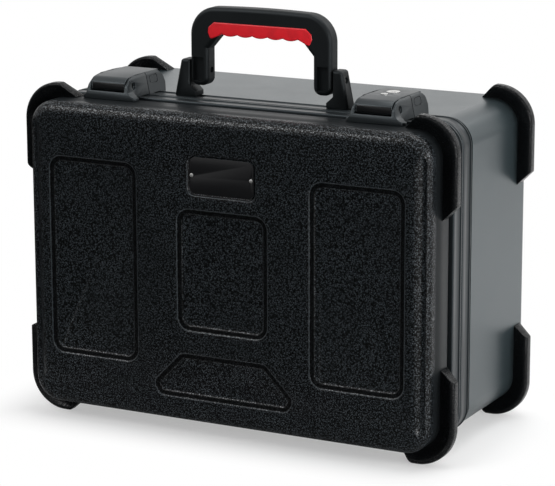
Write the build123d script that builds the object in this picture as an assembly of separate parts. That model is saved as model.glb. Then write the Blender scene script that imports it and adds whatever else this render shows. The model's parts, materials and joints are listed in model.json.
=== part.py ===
from build123d import *
import math
import os

# A moulded microphone case that stands on its corner guards: shallow lid in front, deep base behind.
# Everything is drawn in the case frame: x to the right, y back from the parting plane, z up from
# the middle of the shells. place() moves it to the row's origin, under the middle of the box.

# Driving dimensions in millimetres
case_width = 436.0          # moulded shells, left to right
case_height = 309.0
corner_radius = 26.0
lid_front = -75.3           # front of the lid's raised face
base_rear = 164.7           # back of the base
base_wall_start = 25.5      # front edge of the base's smooth walls
rear_round = 10.0
wall = 4.0
running_gap = 0.4           # between the lid's side and the base's at the parting plane

# Lid front: a roll all round, a soft channel near each upright edge, and four recessed panels
roll_radius = 11.0
lid_wall_end = -28.9        # back edge of the lid's smooth side wall
skirt_inset = 5.0           # the shells step in here and slide under the valances
side_channel = (211.2, -71.0)       # x and y of a side channel's bottom
channel_bottom_radius = 4.3
channel_shoulder = 12.0     # radius of the channel's soft inner shoulder
channel_half = 125.0        # straight part, up and down from the middle
channel_fade = 14.0         # radius on which the channel runs out at its ends
panel_steps = 2             # small steps round a panel, one inside the other
panel_step = (1.2, 1.3)     # depth and width of a step's slope
panel_ledge = 3.6           # between two slopes
panel_corner = 14.0
side_panel = (93.9, 194.5, -101.0, 101.8)   # x from, x to, z from, z to
centre_panel = (-50.2, 50.2, -61.3, 62.0)
lower_panel_half = ((46.5, -83.5), (79.0, -117.0), (70.5, -130.3))
lower_panel_corner = 9.0
badge_centre_z = 95.2
badge_recess = (75.0, 41.0)
badge_size = (70.0, 36.0)
badge_depth = 2.2
badge_thickness = 1.2
badge_rivet_x = 32.4

# Valances: two extrusions of 21 mm with two ridges and a channel each
valance_depth = 21.0
valance_proud = 1.5
valance_inner_inset = 5.0
channel_depth = 1.1
lid_channel = (-16.2, -3.6)
base_channel = (7.6, 18.4)
valance_lip = 0.8
tongue_inset = (1.6, 3.2)
tongue_length = 3.0
tongue_play = 1.2
gasket_thickness = 1.2

# Corner guards: fins that lean forward, cut off slantwise at both ends
guard_out = 17.5
guard_rise = 14.7
guard_rim_radius = 38.0
guard_root_depth = 15.0     # along the shell, behind the front root line
guard_rim = (-8.0, 2.0)     # front and back of the rim, from the root line
guard_lip = 0.75            # how far out the leaning face reaches, as a share of the fin
guard_foot = (0.09, 1.2)    # small lip at the root: its share of the fin, and its thickness
guard_front_y = -44.0
guard_rear_y = 138.0
guard_side_end = {"top": (69.0, 84.5), "bottom": (75.4, 84.5)}      # z of the upright arm's end: root, rim
guard_level_end = {"top": (179.0, 195.0), "bottom": (176.0, 191.0)}     # x of the level arm's end: root, rim

# Hinges below the parting plane
hinge_x = 120.0
hinge_knuckle = 20.0
hinge_knuckle_gap = 0.3
hinge_radius = 4.0
hinge_pin_radius = 1.6
hinge_drop = 0.7            # between the knuckles and the valances
hinge_leaf = 2.0
hinge_reach = 17.0
hinge_rivet = (20.0, 12.0)  # from the hinge's middle, and from the parting plane
pin_fit = 0.05              # radial play of every pin, the lock and the button

# Handle
handle_y = 14.0
handle_depth = 18.0
handle_half = 77.6
handle_top = 247.3
handle_crown = 2.4          # drop of the top from its middle to its ends
handle_foot = 167.5
handle_shoulder = 28.0
handle_haunch = (14.0, 16.0)    # slanting corner under the grip, along and down
handle_edge = 4.2
handle_pivot_z = 183.0
handle_pin_radius = 3.0
leg_width = 19.8
window_x = 68.4
window_width = 12.0
window_z = (172.5, 196.0)
window_depth = 5.0
grip_bottom = 221.0
grip_top = 232.0
grip_end = 57.5
grip_proud = 0.4
wave_half = 41.5
wave_count = 5
wave_drop = 2.0
bracket_y = (5.5, 22.5)
bracket_heel_x = 96.0
bracket_crown = (88.4, 193.0)
bracket_foot = (72.0, 161.0)    # upper corner of the foot under the handle's leg
bracket_slope_z = 166.5     # where the foot's slanting top meets the ear
screw_x = 84.5
screw_head = (3.6, 2.2)     # radius and height
screw_reach = 19.0          # from the head's underside up into the bracket
screw_seat = 148.0          # z of the head's upper face, in the base's skirt

# Latches; u runs from a latch's middle, h up from the shell's top
latch_x = 145.0
latch_front = -41.3
latch_rear = 35.0
latch_split = 0.3           # each half ends this far from the parting plane
latch_top = 23.0
latch_waist = (-24.0, 21.6)     # u of the flanks at mid height
latch_foot = (-30.5, 31.0)      # u of the flared front foot
latch_wall = 2.2
latch_pivot = (-27.0, 12.8)     # y and h
latch_pin_radius = 2.5
latch_eye = (3.6, 2.2)      # radius and depth of the sunk eye over the pin, in the right flank
latch_side_gap = 0.6
lever_u = (-20.2, 17.2)
lever_nose = -38.4
lever_end = 28.2
claw_u = (-12.0, 6.0)
claw_pivot = (-15.0, 14.0)
claw_pin_radius = 1.5
lock_spot = (-3.2, 9.7)     # u and y
lock_radius = 6.6
button_spot = (-4.6, -7.5)
button_radius = 3.6

# Foam
foam_gap = 0.5              # between the foam and the mouth of the base
lid_foam_face = -38.0
foam_front = 8.0
foam_back = 151.0
rail = 22.0
drop_width = 50.0
drop_height = 70.0
partition = 18.0

half_width = case_width / 2
half_height = case_height / 2
clear = running_gap / 2
panel_depth = panel_steps * panel_step[0]
foam_width = case_width - 2 * (skirt_inset + wall + foam_gap)
foam_height = case_height - 2 * (skirt_inset + wall + foam_gap)


def place(shape):
    """Case frame to row frame."""
    depth_shift = -(lid_front + base_rear) / 2
    return Pos(0, depth_shift, half_height + guard_rise) * shape


def save(name, shape):
    export_step(place(shape), f"parts/{name}.step")


def outline(inset, radius=None):
    """The case's outline drawn in by inset, or out where inset is negative."""
    corner = max(corner_radius - inset, 3.0) if radius is None else radius
    return RectangleRounded(case_width - 2 * inset, case_height - 2 * inset, corner)


def slab(face, y_from, y_to):
    """A face drawn in x and z, made solid between two depths."""
    back = Plane(origin=(0, y_to, 0), x_dir=(1, 0, 0), z_dir=(0, -1, 0))
    return extrude(back * face, y_to - y_from)


def ramp(face_a, y_a, face_b, y_b):
    """A solid that changes evenly from one face to another along y."""
    sections = []
    for face, y in ((face_a, y_a), (face_b, y_b)):
        plane = Plane(origin=(0, y, 0), x_dir=(1, 0, 0), z_dir=(0, -1, 0))
        sections.append((plane * face).faces()[0])
    return loft(sections)


def block(x, y, z):
    """A box from three (low, high) pairs."""
    size = [high - low for low, high in (x, y, z)]
    middle = [(low + high) / 2 for low, high in (x, y, z)]
    return Pos(*middle) * Box(*size)


def rod_x(x_from, x_to, y, z, radius):
    return Pos((x_from + x_to) / 2, y, z) * Rot(0, 90, 0) * Cylinder(radius, x_to - x_from)


def rod_y(y_from, y_to, x, z, radius):
    return Pos(x, (y_from + y_to) / 2, z) * Rot(90, 0, 0) * Cylinder(radius, y_to - y_from)


def rod_z(z_from, z_to, x, y, radius):
    return Pos(x, y, (z_from + z_to) / 2) * Cylinder(radius, z_to - z_from)


def polygon(points):
    return make_face(Polyline(*points, close=True))


def soften(face, *corners):
    """Rounds a drawn face at some corners, each given as (across, up, radius)."""
    for across, up, radius in corners:
        nearest = face.vertices().sort_by_distance((across, up, 0))[0]
        face = fillet(nearest, radius)
    return face


def rectangle_points(x_from, x_to, z_from, z_to):
    return ((x_from, z_from), (x_to, z_from), (x_to, z_to), (x_from, z_to))


def rounded(face, radius):
    return fillet(face.vertices(), radius)


def recess(sharp, depth, slope, corner, top=lid_front):
    """The tool that sinks an outline with a sloping border below a level face."""
    lead = 0.5
    mouth = offset(sharp, slope * lead / depth, kind=Kind.INTERSECTION)
    floor = offset(sharp, -slope, kind=Kind.INTERSECTION)
    mouth = rounded(mouth, corner)
    floor = rounded(floor, corner - slope * 0.6)
    return ramp(mouth, top - lead, floor, top + depth)


def panel_tool(points, corner):
    """The steps down to a panel's floor, with narrow ledges between them."""
    depth, slope = panel_step
    tool = recess(polygon(points), depth, slope, corner)
    for level in range(1, panel_steps):
        inset = level * (slope + panel_ledge)
        sharp = offset(polygon(points), -inset, kind=Kind.INTERSECTION)
        tool += recess(sharp, depth, slope, corner - inset, lid_front + level * depth)
    return tool


def side_channel_tool():
    """The soft channel near the lid's right edge: round bottom, wide inner shoulder, ends that run out."""
    x, bottom = side_channel
    y = bottom - channel_bottom_radius
    reach = channel_bottom_radius + channel_shoulder
    ball_y = lid_front + channel_shoulder - 0.05
    slant = math.acos((ball_y - y) / reach)
    ball_x = x - reach * math.sin(slant)

    def on_shoulder(angle):
        return ball_x + channel_shoulder * math.sin(angle), ball_y - channel_shoulder * math.cos(angle)

    def on_bottom(angle):
        return x + channel_bottom_radius * math.sin(angle), y + channel_bottom_radius * math.cos(angle)

    start = on_shoulder(0)
    rise = math.radians(45)
    end = on_bottom(rise)
    front = lid_front - 3.0
    outer = (end[0] + end[1] - front, front)
    lines = [
        ThreePointArc(start, on_shoulder(slant / 2), on_shoulder(slant)),
        ThreePointArc(on_shoulder(slant), on_bottom((rise - slant) / 2), end),
        Polyline(end, outer, (start[0], front), start),
    ]
    section = make_face(Curve() + lines)
    tool = extrude(Pos(0, 0, -channel_half) * section, 2 * channel_half)
    for end_z in (-channel_half, channel_half):
        axis = Axis((0, lid_front - channel_fade, end_z), (1, 0, 0))
        tool += revolve(Pos(0, 0, end_z) * section, axis, math.copysign(90, end_z))
    return tool


def lid_shell():
    shell = slab(outline(0), lid_front, lid_wall_end)
    front_edges = shell.edges().filter_by_position(Axis.Y, lid_front - 0.1, lid_front + 0.1)
    shell = fillet(front_edges, roll_radius)
    shell += slab(outline(skirt_inset), lid_wall_end - 1, -1.5)
    channel = side_channel_tool()
    shell -= channel
    shell -= mirror(channel, Plane.YZ)
    cavity_front = lid_front + panel_depth + wall
    shell -= slab(outline(skirt_inset + wall), cavity_front, 0)
    x_from, x_to, z_from, z_to = side_panel
    for panel in (
        rectangle_points(x_from, x_to, z_from, z_to),
        rectangle_points(-x_to, -x_from, z_from, z_to),
        rectangle_points(*centre_panel),
    ):
        shell -= panel_tool(panel, panel_corner)
    lower_panel = [(-x, z) for x, z in reversed(lower_panel_half)] + list(lower_panel_half)
    shell -= panel_tool(lower_panel, lower_panel_corner)
    half_x, half_z = badge_recess[0] / 2, badge_recess[1] / 2
    badge = rectangle_points(-half_x, half_x, badge_centre_z - half_z, badge_centre_z + half_z)
    return shell - recess(polygon(badge), badge_depth, 1.5, 8.0)


def badge_plate():
    face = Pos(0, badge_centre_z) * RectangleRounded(*badge_size, 6.5)
    return slab(face, lid_front + badge_depth - badge_thickness, lid_front + badge_depth)


def badge_rivets():
    heads = []
    for side in (-1, 1):
        x = side * badge_rivet_x
        plate_front = lid_front + badge_depth - badge_thickness
        shank = rod_y(plate_front, lid_front + badge_depth + 2.0, x, badge_centre_z, 1.1)
        head = rod_y(plate_front - 0.6, plate_front, x, badge_centre_z, 1.9)
        heads.append(shank + head)
    return Compound(heads)


def valance_ring(y_from, y_to, channel_from, channel_to):
    """One extrusion bent round the case: an outer face with a channel between two ridges."""
    ring = slab(outline(-valance_proud) - outline(valance_inner_inset), y_from, y_to)
    for y in (y_from, y_to):
        edges = ring.edges().filter_by_position(Axis.Y, y - 0.01, y + 0.01)
        outer = [edge for edge in edges if far_out(edge)]
        ring = chamfer(outer, valance_lip)
    channel = outline(-valance_proud - 2) - outline(channel_depth - valance_proud)
    return ring - slab(channel, channel_from, channel_to)


def far_out(edge):
    """True for an edge on the valance's outer outline."""
    middle = edge @ 0.5
    sideways = abs(middle.X) - half_width
    upright = abs(middle.Z) - half_height
    corner = math.hypot(max(sideways + corner_radius, 0), max(upright + corner_radius, 0))
    return max(sideways, upright) > 0.5 or corner > corner_radius + 0.5


def lid_valance():
    ring = valance_ring(-valance_depth, -clear, *lid_channel)
    tongue = slab(outline(tongue_inset[0]) - outline(tongue_inset[1]), -clear - 1, tongue_length)
    return ring + tongue


def base_valance():
    ring = valance_ring(clear, valance_depth, *base_channel)
    return ring - slab(tongue_groove(), -1, tongue_groove_floor())


def tongue_groove():
    return outline(tongue_inset[0] - tongue_play) - outline(tongue_inset[1] + tongue_play)


def tongue_groove_floor():
    return tongue_length + running_gap + gasket_thickness


def gasket():
    floor = tongue_groove_floor()
    return slab(tongue_groove(), floor - gasket_thickness, floor)


def base_shell():
    shell = slab(outline(0), base_wall_start, base_rear)
    rear_edges = shell.edges().filter_by_position(Axis.Y, base_rear - 0.1, base_rear + 0.1)
    shell = fillet(rear_edges, rear_round)
    shell += slab(outline(skirt_inset), 6.0, base_wall_start + 1)
    shell -= slab(outline(skirt_inset + wall), 0, base_wall_start + wall)
    shell -= slab(outline(wall), base_wall_start + wall, base_rear - wall)
    return shell


def grown(amount):
    """Outline grown towards the guard's rim; amount 0 is the shell, 1 the rim."""
    width = case_width + 2 * guard_out * amount
    height = case_height + 2 * guard_rise * amount
    radius = corner_radius + (guard_rim_radius - corner_radius) * amount
    return RectangleRounded(width, height, radius)


def guard_ring(root_y):
    """A fin all round the case; the four guards are cut from it."""
    front = root_y + guard_rim[0]
    back = root_y + guard_rim[1]
    root_back = root_y + guard_root_depth
    ring = slab(grown(1), front, back) + ramp(grown(1), back, grown(0), root_back)
    front_edges = ring.edges().filter_by_position(Axis.Y, front - 0.01, front + 0.01)
    ring = fillet(front_edges, 2.6)
    foot_share, foot_thickness = guard_foot
    foot_front = root_y - foot_thickness
    ring -= ramp(grown(guard_lip), front - 0.01, grown(foot_share), foot_front)
    return ring - slab(grown(0), front - 5, root_back + 5)


def guard_corner(side, level):
    """The area that keeps one corner of the guard ring, with its two slanting ends."""
    side_root, side_rim = guard_side_end[level]
    top_root, top_rim = guard_level_end[level]
    rim_x = half_width + guard_out
    rim_z = half_height + guard_rise
    reach = 2.0

    def beyond(root, rim, factor):
        return tuple(a + (b - a) * factor for a, b in zip(root, rim))

    side_arm = ((half_width, side_root), (rim_x, side_rim))
    level_arm = ((top_root, half_height), (top_rim, rim_z))
    points = [
        beyond(*side_arm, -0.5),
        beyond(*side_arm, reach),
        (rim_x + 40, rim_z + 40),
        beyond(*level_arm, reach),
        beyond(*level_arm, -0.5),
    ]
    up = 1 if level == "top" else -1
    return polygon([(side * x, up * z) for x, z in points])


def guards(prefix, root_y):
    ring = guard_ring(root_y)
    for side, side_name in ((-1, "left"), (1, "right")):
        for level in ("top", "bottom"):
            corner = slab(guard_corner(side, level), root_y - 20, root_y + 30)
            save(f"{prefix}_guard_{level}_{side_name}", ring & corner)


def hinge_axis_z():
    return -half_height - valance_proud - hinge_radius - hinge_drop


def hinge_leaf_body(x, toward, knuckles):
    """Leaf under a valance with its knuckles; toward is -1 for the lid's and 1 for the base's."""
    top = -half_height - valance_proud
    half = hinge_knuckle * 1.5
    near = hinge_radius + 0.5
    leaf = block((x - half, x + half), sorted((toward * near, toward * hinge_reach)), (top - hinge_leaf, top))
    for start in knuckles:
        low = x + start * hinge_knuckle + hinge_knuckle_gap
        high = x + (start + 1) * hinge_knuckle - hinge_knuckle_gap
        leaf += rod_x(low, high, 0, hinge_axis_z(), hinge_radius)
        leaf += block((low, high), sorted((toward * clear, toward * (near + 1))), (top - hinge_leaf, top))
    return leaf - rod_x(x - half - 1, x + half + 1, 0, hinge_axis_z(), hinge_pin_radius + pin_fit)


def hinge_pins():
    pins = []
    for side in (-1, 1):
        x = side * hinge_x
        half = hinge_knuckle * 1.5
        pins.append(rod_x(x - half, x + half, 0, hinge_axis_z(), hinge_pin_radius))
    return Compound(pins)


def hinge_rivets(toward):
    rivets = []
    top = -half_height - valance_proud
    for side in (-1, 1):
        for end in (-1, 1):
            x = side * hinge_x + end * hinge_rivet[0]
            y = toward * hinge_rivet[1]
            shank = rod_z(top - hinge_leaf, top + 3.0, x, y, 1.6)
            head = rod_z(top - hinge_leaf - 1.2, top - hinge_leaf, x, y, 3.0)
            rivets.append(shank + head)
    return Compound(rivets)


def handle_outer():
    """The handle from the front: two legs, an arched top, and slanting corners under the grip."""
    end = handle_top - handle_crown
    right, left = (handle_half, end), (-handle_half, end)
    arch = ThreePointArc(left, (0, handle_top), right)
    legs = Polyline(right, (handle_half, handle_foot), (-handle_half, handle_foot), left)
    face = make_face(Curve() + [arch, legs])
    face = fillet(face.vertices().filter_by_position(Axis.Y, end - 1, end + 1), handle_shoulder)
    inner = handle_half - leg_width
    along, down = handle_haunch
    face -= polygon(
        (
            (-inner, handle_foot - 1),
            (-inner, grip_bottom - down),
            (-inner + along, grip_bottom),
            (inner - along, grip_bottom),
            (inner, grip_bottom - down),
            (inner, handle_foot - 1),
        )
    )
    feet = face.vertices().filter_by_position(Axis.Y, handle_foot - 0.1, handle_foot + 0.1)
    return fillet(feet, 8.0)


def grip_face():
    """The red insert: a bar with drooping ends and a row of finger waves below."""
    level = grip_bottom - 0.5
    droop = grip_bottom - 6.5
    right_end = [(grip_end - 7.0, grip_top), (grip_end - 0.5, grip_top - 5.5), (grip_end, grip_bottom)]
    right_end += [(grip_end - 3.0, droop), (wave_half, level)]
    left_end = [(-x, z) for x, z in reversed(right_end)]
    pitch = 2 * wave_half / wave_count
    lines = [Polyline(*left_end, *right_end)]
    for index in range(wave_count):
        right = wave_half - index * pitch
        lowest = (right - pitch / 2, level - wave_drop)
        lines.append(ThreePointArc((right, level), lowest, (right - pitch, level)))
    face = make_face(Curve() + lines)
    soft = [v for v in face.vertices() if v.Y > grip_bottom + 2 or v.Y < droop + 1]
    return fillet(soft, 2.5)


def across_handle(face, proud=0.0):
    return slab(face, handle_y - handle_depth / 2 - proud, handle_y + handle_depth / 2 + proud)


def faces_of_handle(shape, proud=0.0):
    """The edges that lie in the handle's front or back face."""
    half = handle_depth / 2 + proud
    return [edge for edge in shape.edges() if abs(abs((edge @ 0.5).Y - handle_y) - half) < 0.05]


def handle_frame():
    frame = across_handle(handle_outer())
    frame = fillet(faces_of_handle(frame), handle_edge)
    frame -= across_handle(grip_face(), 2.0)
    for side in (-1, 1):
        x = (side * window_x - window_width / 2, side * window_x + window_width / 2)
        for back in (-1, 1):
            surface = handle_y + back * handle_depth / 2
            frame -= block(x, sorted((surface - back * window_depth, surface + back)), window_z)
        hole = sorted((side * (handle_half - leg_width - 1), side * (handle_half + 1)))
        frame -= rod_x(*hole, handle_y, handle_pivot_z, handle_pin_radius + pin_fit)
    return frame


def handle_grip():
    grip = across_handle(grip_face(), grip_proud)
    return fillet(faces_of_handle(grip, grip_proud), 1.4)


def handle_bracket(side):
    """An ear that tapers upwards outside the handle's leg, with a short slanting foot under it."""
    seat = half_height + valance_proud
    ear = handle_half + 0.8
    crown_x, crown_z = bracket_crown
    outside = ((bracket_heel_x, seat), (crown_x, crown_z))
    inside = ((ear, crown_z), (ear, bracket_slope_z), bracket_foot, (bracket_foot[0], seat))
    face = polygon(outside + inside)
    face = soften(face, (crown_x, crown_z, 3.5), (ear, crown_z, 1.5), (*bracket_foot, 1.5))
    body = slab(face, *bracket_y)
    rim = [edge for edge in body.edges() if (edge @ 0.5).Z > crown_z - 0.5]
    body = fillet([edge for edge in rim if min(abs((edge @ 0.5).Y - y) for y in bracket_y) < 0.1], 3.0)
    body -= rod_x(ear - 1, bracket_heel_x, handle_y, handle_pivot_z, handle_pin_radius + pin_fit)
    return body if side > 0 else mirror(body, Plane.YZ)


def handle_pins():
    pins = []
    for side in (-1, 1):
        x = sorted((side * (handle_half - leg_width + 4), side * (bracket_crown[0] - 0.5)))
        pins.append(rod_x(*x, handle_y, handle_pivot_z, handle_pin_radius))
    return Compound(pins)


def bracket_screws():
    """Pan-head screws that come up from inside the base, through the skirt and the valance."""
    radius, height = screw_head
    screws = []
    for side in (-1, 1):
        x = side * screw_x
        body = rod_z(screw_seat - height, screw_seat, x, handle_y, radius)
        body += rod_z(screw_seat, screw_seat + screw_reach, x, handle_y, 2.0)
        for turn in (0, 90):
            body -= Pos(x, handle_y, screw_seat - height) * Rot(0, 0, turn) * Box(4.4, 0.9, 2.0)
        screws.append(body)
    return Compound(screws)


def latch_section(x):
    """A latch from the front: flat top, steep flanks, round shoulders."""
    left, right = latch_waist
    middle = (latch_top + 1) / 2
    points = ((left - 1.8, 0), (left, middle), (left + 2.2, latch_top))
    points += ((right - 2.2, latch_top), (right, middle), (right + 2.6, 0))
    face = polygon([(x + u, half_height + h) for u, h in points])
    top = half_height + latch_top
    face = soften(face, (x + left + 2.2, top, 2.0), (x + right - 2.2, top, 5.0))
    return soften(face, (x + right, half_height + middle, 20.0), (x + left, half_height + middle, 20.0))


def latch_flare(x):
    """The front foot from the front: it spreads from the flanks in hollow curves."""
    left, right = latch_foot
    waist_left, waist_right = latch_waist
    base = half_height
    lines = [
        Line((x + left, base), (x + right, base)),
        Line((x + right, base), (x + right, base + 3.4)),
        ThreePointArc((x + right, base + 3.4), (x + 24.2, base + 6.4), (x + waist_right - 0.6, base + 13.0)),
        Line((x + waist_right - 0.6, base + 13.0), (x + waist_left + 0.6, base + 13.0)),
        ThreePointArc((x + waist_left + 0.6, base + 13.0), (x - 25.6, base + 5.6), (x + left, base + 3.0)),
        Line((x + left, base + 3.0), (x + left, base)),
    ]
    return make_face(Curve() + lines)


def lid_latch_profile():
    """The lid's half of a latch from the side."""
    points = ((-17.0, latch_top), (-31.5, 20.6), (-39.0, 14.0), (latch_front, 6.0), (latch_front, 0.0))
    points += ((-29.5, 0.0), (-29.5, valance_proud), (-latch_split, valance_proud), (-latch_split, latch_top))
    return points, ((-17.0, latch_top, 30.0), (-31.5, 20.6, 8.0), (-39.0, 14.0, 6.0), (latch_front, 6.0, 8.0))


def keeper_profile():
    """The base's half of a latch from the side."""
    under = ((latch_split, valance_proud), (21.5, valance_proud), (21.5, -0.2), (latch_rear, -0.2))
    points = under + ((latch_rear, 5.0), (31.5, 16.5), (24.0, 21.6), (latch_split, latch_top))
    return points, ((latch_rear, 5.0, 6.0), (31.5, 16.5, 7.0), (24.0, 21.6, 14.0))


def lever_profile():
    """A lever from the side: a tall blunt front, a round shoulder, and a thin plate over the keeper."""
    under = ((lever_end, 18.6), (-12.0, 19.2), (-12.0, 10.3), (-20.0, 8.0), (-31.0, 8.2), (-36.6, 8.4))
    points = under + ((lever_nose, 10.0), (lever_nose + 0.6, 17.0), (-32.0, 21.4))
    points += ((-16.0, 22.8), (lever_end, 22.2))
    return points, ((lever_nose, 10.0, 1.0), (lever_nose + 0.6, 17.0, 3.5), (-32.0, 21.4, 10.0))


def latch_solid(x, profile, u=(-40.0, 40.0)):
    """A side profile, given as points and soft corners in y and h, made solid across a latch."""
    points, corners = profile
    face = polygon([(y, half_height + h) for y, h in points])
    face = soften(face, *[(y, half_height + h, radius) for y, h, radius in corners])
    plane = Plane(origin=(x + u[0], 0, 0), x_dir=(0, 1, 0), z_dir=(1, 0, 0))
    return extrude(plane * face, u[1] - u[0])


def latch_box(x, u, y, h):
    return block((x + u[0], x + u[1]), y, (half_height + h[0], half_height + h[1]))


def latch_rod(x, u, spot, radius):
    """A rod across a latch through a spot given as y and h."""
    return rod_x(x + u[0], x + u[1], spot[0], half_height + spot[1], radius)


def latch_plan(x, y_from, y_to, u, radius):
    """A latch's half from above, with rounded corners at the end away from the parting plane."""
    face = polygon(rectangle_points(x + u[0], x + u[1], y_from, y_to))
    far = y_from if abs(y_from) > abs(y_to) else y_to
    face = soften(face, (x + u[0], far, radius), (x + u[1], far, radius))
    return extrude(Pos(0, 0, half_height - 1) * face, latch_top + 2)


def lever_room():
    return lever_u[0] - latch_side_gap, lever_u[1] + latch_side_gap


def latch_base(x):
    """Two cheeks, a low front wall with a flared foot, and a floor strip, open above for the lever."""
    body = slab(latch_section(x), latch_front, -latch_split)
    flare = slab(latch_flare(x), latch_front, -30.0)
    for u in latch_foot:
        flare -= rod_z(half_height - 1, half_height + 14, x + u * 1.04, -26.5, 7.0)
    body = (body + flare) & latch_solid(x, lid_latch_profile())
    body &= latch_plan(x, latch_front, -latch_split, latch_foot, 5.0)
    body -= latch_box(x, lever_room(), (latch_front + latch_wall, 1.0), (-1.0, 30.0))
    body -= latch_box(x, lever_room(), (latch_front - 1, 0.0), (8.2, 30.0))
    body += latch_box(x, (lever_u[0] - 2, lever_u[1] + 2), (-16.0, -latch_split), (valance_proud, 2.5))
    eye_radius, eye_depth = latch_eye
    body -= latch_rod(x, (latch_waist[1] - eye_depth, 40.0), latch_pivot, eye_radius)
    return body - latch_rod(x, (-40.0, 40.0), latch_pivot, latch_pin_radius + pin_fit)


def latch_pin(x):
    left, right = latch_waist
    return latch_rod(x, (left + 1.2, right - latch_eye[1]), latch_pivot, latch_pin_radius)


def keeper(x):
    """A housing with room for the lever's plate, and a pocket with the bar that the claw pulls on."""
    body = slab(latch_section(x), latch_split, latch_rear) & latch_solid(x, keeper_profile())
    body &= latch_plan(x, latch_split, latch_rear, (latch_waist[0] - 2, latch_waist[1] + 3), 6.0)
    body -= latch_box(x, lever_room(), (0.0, lever_end + latch_side_gap), (17.5, 30.0))
    body -= latch_box(x, (claw_u[0] - 2, claw_u[1] + 2), (0.0, 20.0), (6.0, 30.0))
    body += latch_box(x, (claw_u[0] - 2, claw_u[1] + 2), (4.0, 9.0), (5.0, 10.0))
    flank = Plane(origin=(x + 20.7, 12.5, half_height + 15.0), x_dir=(0, 1, 0), z_dir=(0.978, 0, 0.208))
    mark = RectangleRounded(15.0, 8.4, 2.6) - RectangleRounded(13.6, 7.0, 1.9)
    return body - extrude(flank * mark, 0.7, both=True)


def lever(x, with_lock):
    body = latch_solid(x, lever_profile(), lever_u)
    body -= latch_box(x, (claw_u[0] - 0.6, claw_u[1] + 0.6), (-21.0, -10.0), (5.0, 19.2))
    body -= latch_rod(x, (-40.0, 40.0), latch_pivot, latch_pin_radius + pin_fit)
    body -= claw_pin(x)
    body -= lever_front(x)
    if with_lock:
        for spot, radius in ((lock_spot, lock_radius), (button_spot, button_radius)):
            body -= rod_z(half_height + 16, half_height + 26, x + spot[0], spot[1], radius + pin_fit)
    return body


def lever_front(x):
    """Glossy strip let into the lever's front."""
    across = (lever_u[0] + 0.8, lever_u[1] - 0.8)
    strip = latch_box(x, across, (lever_nose - 1, lever_nose + 1.6), (9.9, 16.2))
    return strip & latch_solid(x, lever_profile())


def claw(x):
    """An eye on the lever's pin, a tongue over the bar, and a nose that points down behind it."""
    eye = latch_rod(x, claw_u, claw_pivot, 2.7)
    tongue = latch_box(x, claw_u, (claw_pivot[0], 13.0), (12.5, 15.5))
    nose = latch_box(x, claw_u, (10.0, 13.0), (10.5, 13.5))
    return eye + tongue + nose - latch_rod(x, (-40.0, 40.0), claw_pivot, claw_pin_radius + pin_fit)


def claw_pin(x):
    return latch_rod(x, (lever_u[0] + 1, lever_u[1] - 1), claw_pivot, claw_pin_radius)


def lock_cylinder(x):
    spot_x = x + lock_spot[0]
    spot_y = lock_spot[1]
    body = rod_z(half_height + 16.6, half_height + 22.8, spot_x, spot_y, lock_radius)
    slot_x = (spot_x - 3.2, spot_x + 3.2)
    slot_y = (spot_y - 0.6, spot_y + 0.6)
    return body - block(slot_x, slot_y, (half_height + 20, half_height + 24))


def lock_button(x):
    return rod_z(half_height + 18.4, half_height + 23.4, x + button_spot[0], button_spot[1], button_radius)


def foam_layout():
    """Named foam blocks: rails above and below, upright walls, shelves, and partitions."""
    left = -foam_width / 2
    half = foam_height / 2
    depth = (foam_front, foam_back)
    inner = (-half + rail, half - rail)
    drops_from = left + partition
    drops_to = drops_from + 4 * drop_width + 3 * partition
    gap = (inner[1] - inner[0] - 3 * drop_height) / 2
    blocks = {
        "foam_rail_top": block((left, -left), depth, (half - rail, half)),
        "foam_rail_bottom": block((left, -left), depth, (-half, -half + rail)),
        "foam_wall_left": block((left, drops_from), depth, inner),
        "foam_wall_middle": block((drops_to, drops_to + partition), depth, inner),
        "foam_wall_right": block((-left - partition, -left), depth, inner),
    }
    rows = [inner[0] + index * (drop_height + gap) for index in range(3)]
    for name, row in (("foam_shelf_lower", rows[0]), ("foam_shelf_upper", rows[1])):
        low = row + drop_height
        blocks[name] = block((drops_from, drops_to), depth, (low, low + gap))
    partitions = []
    for row in rows:
        for column in range(3):
            x = drops_from + (column + 1) * drop_width + column * partition
            partitions.append(block((x, x + partition), depth, (row, row + drop_height)))
    blocks["foam_partitions"] = Compound(partitions)
    blocks["foam_back_pad"] = block((left, -left), (foam_back, base_rear - wall), (-half, half))
    mouth = outline(skirt_inset + wall + foam_gap)
    bay = slab(mouth, 0, base_rear)
    blocks = {name: shape & bay for name, shape in blocks.items()}
    blocks["lid_foam"] = slab(mouth, lid_front + panel_depth + wall, lid_foam_face)
    return blocks


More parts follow.
